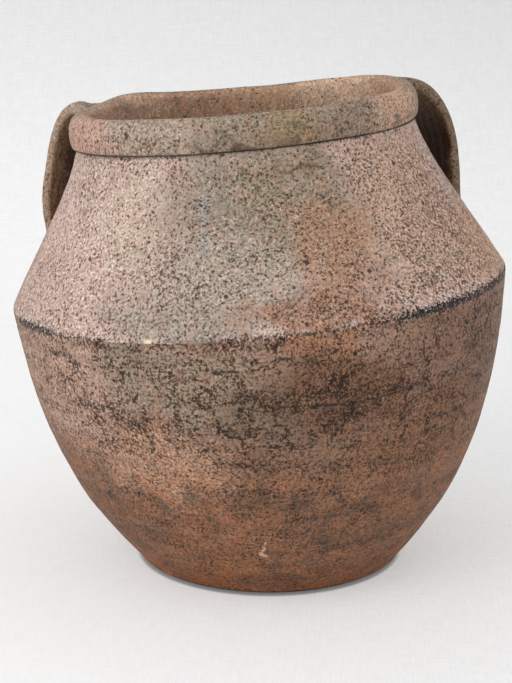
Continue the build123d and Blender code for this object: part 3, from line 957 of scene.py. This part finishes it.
def handle_clay(name, body, azimuth):
    """Tan and grey on the outer face and edges; smoked and painted with shade, nearly black, on the face
    towards the jar.
    """
    clay = Clay(name, body, grains=860.0)
    clay.clouded(22.0, (130, 112, 94), 0.6, (176, 140, 112), 0.5)
    clay.mottled((176, 142, 112), (132, 126, 108), (90, 78, 66), 0.3, 0.4)
    turn = math.radians(azimuth)
    away = math.cos(turn) * math.cos(LEAN), math.sin(turn), math.cos(turn) * math.sin(LEAN)
    facing = (Vector(away) + Vector((0, 0, 0.7))).normalized()
    # Smoke and painted shade: faces turned towards the jar and downwards are darkened, since the real ones
    # are both smoked and in shade.
    normal = clay.add("ShaderNodeNewGeometry").outputs["Normal"]
    outwards = clay.vector("DOT_PRODUCT", normal, facing)
    outwards = clay.calc("MULTIPLY_ADD", clay.calc("SUBTRACT", clay.grain, 0.5), 1.2, outwards)
    smoked_and_shaded = clay.step(outwards, 0.05, -0.6)
    clay.tint(smoked_and_shaded, (150, 124, 98), 0.85)
    pulled = clay.laid(streak_group, Lines_per_metre=40.0, Length_share=10.0)["Streak"]
    clay.tint(clay.both(smoked_and_shaded, pulled), (92, 76, 60), 0.6)
    # Smoke and painted shade: nearly black behind the strap's front edge and lower down, where the inner face
    # is hidden from the light.
    back = 1 if turn < 1 else -1
    sideways = (-back * math.sin(turn), back * math.cos(turn), 0.0)
    behind = clay.step(clay.vector("DOT_PRODUCT", clay.frayed, sideways), -0.018, -0.007)
    lower = clay.step(clay.above_keel, RIM_BASE + 0.011, RIM_BASE - 0.022, 0.1, 1.0)
    deep = clay.both(clay.both(behind, lower), smoked_and_shaded)
    clay.tint(deep, (58, 28, 8), 0.95)
    blended = clay.calc("MULTIPLY_ADD", clay.grain, -0.012, clay.above_keel)
    clay.tint(clay.step(blended, 0.034, 0.010), (214, 188, 174), 0.85)
    clay.gritty(0.45, 1.4, (66, 48, 36), 0.4, 0.2)
    return clay.finish(0.7, 0.92)


for name, body, azimuth, roll, path in (
    ("right_handle", (136, 117, 98), 28.0, 0.0, {
        "step": -0.0016, "sink": 0.0008, "hump": 0.0008, "inset": 0.0133, "bend_drop": 0.048,
        "fullness": 0.55, "side_fullness": 0.54,
    }),
    ("left_handle", (176, 158, 141), 152.0, 9.0, {
        "step": 0.0009, "sink": 0.0046, "hump": 0.0115, "inset": 0.0100, "bend_drop": 0.0805,
        "fullness": 0.54, "side_fullness": 0.34,
    }),
):
    handle = strap(name + "_strap", azimuth, roll, **path)
    handle.data.materials.append(handle_clay(name.replace("_", " ") + " clay", body, azimuth))
    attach(handle, "root")
    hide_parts(name)

# The setting: a sheet of pale linen under and behind the jar, soft light from
# the left and front, and a long lens a metre away.

HALF_WIDTH, FRONT, BACK, BEND, TOP = 2.2, -1.6, 1.1, 0.5, 2.4
COLUMNS = 24
THREADS_PER_METRE, THREAD_RUNS = 900.0, 60.0

profile = [(FRONT + (BACK - BEND - FRONT) * i / 24, 0.0) for i in range(25)]
turns = np.linspace(0, math.pi / 2, 17)[1:]
profile += [(BACK - BEND + BEND * math.sin(a), BEND - BEND * math.cos(a)) for a in turns]
profile += [(BACK, BEND + (TOP - BEND) * i / 8) for i in range(1, 9)]
points = [(-HALF_WIDTH + 2 * HALF_WIDTH * c / COLUMNS, y, z) for y, z in profile for c in range(COLUMNS + 1)]
starts = [r * (COLUMNS + 1) + c for r in range(len(profile) - 1) for c in range(COLUMNS)]
linen = bpy.data.meshes.new("linen backdrop")
linen.from_pydata(points, [], [(s, s + 1, s + COLUMNS + 2, s + COLUMNS + 1) for s in starts])
linen.shade_smooth()
backdrop = linked("linen_backdrop", linen)
cloth = bpy.data.materials.new("pale linen")
cloth.use_nodes = True
tree = cloth.node_tree
nodes = Nodes(tree)
skin = tree.nodes["Principled BSDF"]
place = nodes.add("ShaderNodeTexCoord").outputs["Object"]
warp = nodes.vector("MULTIPLY", place, (THREADS_PER_METRE, THREAD_RUNS, THREAD_RUNS))
weft = nodes.vector("MULTIPLY", place, (THREAD_RUNS, THREADS_PER_METRE, THREADS_PER_METRE))
threads = [nodes.noise(across, 1.0, 2.0)["Fac"] for across in (warp, weft)]
woven = nodes.step(nodes.calc("ADD", *threads), 0.7, 1.3)
pale = nodes.mix(woven, (0.90, 0.90, 0.90, 1), (0.97, 0.97, 0.97, 1))
sideways, _, upright = nodes.add("ShaderNodeSeparateXYZ", {0: place}).outputs
# Painted shade on the linen: darker higher up the backdrop and towards the right.
shade = nodes.step(upright, -0.05, 0.42, 0.0, 0.20)
shade = nodes.calc("ADD", shade, nodes.step(sideways, -0.35, 0.45, 0.02, 0.07))
# Painted contact shadow: the cloth is darkened where it comes close to the jar's foot.
painted_contact_shadow = nodes.add("ShaderNodeAmbientOcclusion", {"Distance": 0.0045}, samples=8).outputs["AO"]
shade = nodes.calc("MAXIMUM", shade, nodes.step(painted_contact_shadow, 0.7, 0.3, 0.0, 0.65))
pale = nodes.mix(shade, pale, (0, 0, 0, 1))
tree.links.new(pale, skin.inputs["Base Color"])
skin.inputs["Roughness"].default_value = 0.95
skin.inputs["Specular IOR Level"].default_value = 0.1
lit = nodes.add("ShaderNodeEmission", {"Color": pale, "Strength": 1.34})
rays = nodes.add("ShaderNodeLightPath").outputs
seen = nodes.calc("MAXIMUM", rays["Is Camera Ray"], rays["Is Glossy Ray"])
seen = nodes.calc("MAXIMUM", seen, rays["Is Transmission Ray"])
seen = nodes.both(seen, 0.31)
blend = nodes.add("ShaderNodeMixShader", {0: seen, 1: skin.outputs["BSDF"], 2: lit.outputs[0]})
from_behind = nodes.add("ShaderNodeNewGeometry").outputs["Backfacing"]
clear = nodes.add("ShaderNodeBsdfTransparent")
blend = nodes.add("ShaderNodeMixShader", {0: from_behind, 1: blend.outputs[0], 2: clear.outputs[0]})
tree.links.new(blend.outputs[0], tree.nodes["Material Output"].inputs["Surface"])
linen.materials.append(cloth)

scene = bpy.context.scene
scene.view_settings.view_transform = "Standard"
room = bpy.data.worlds.new("pale room")
scene.world = room
room.use_nodes = True
sky = room.node_tree.nodes["Background"].inputs
sky["Color"].default_value = (1, 1, 1, 1)
sky["Strength"].default_value = 0.8

lamp = bpy.data.lights.new("window left", "AREA")
lamp.shape = "DISK"
lamp.size = 1.6
lamp.energy = 14.0
window = linked("window left", lamp)
window.location = (-1.3, -1.3, 1.3)
window.rotation_euler = (Vector((0, 0, 0.12)) - window.location).to_track_quat("-Z", "Y").to_euler()

view = bpy.data.cameras.new("long lens")
view.lens = 84.0
view.sensor_width = 36.0
eye = linked("long lens", view)
eye.location = (-0.00613, -0.96393, 0.37138)
eye.rotation_euler = (math.radians(90 - 13.787), 0, math.radians(0.136))
scene.camera = eye
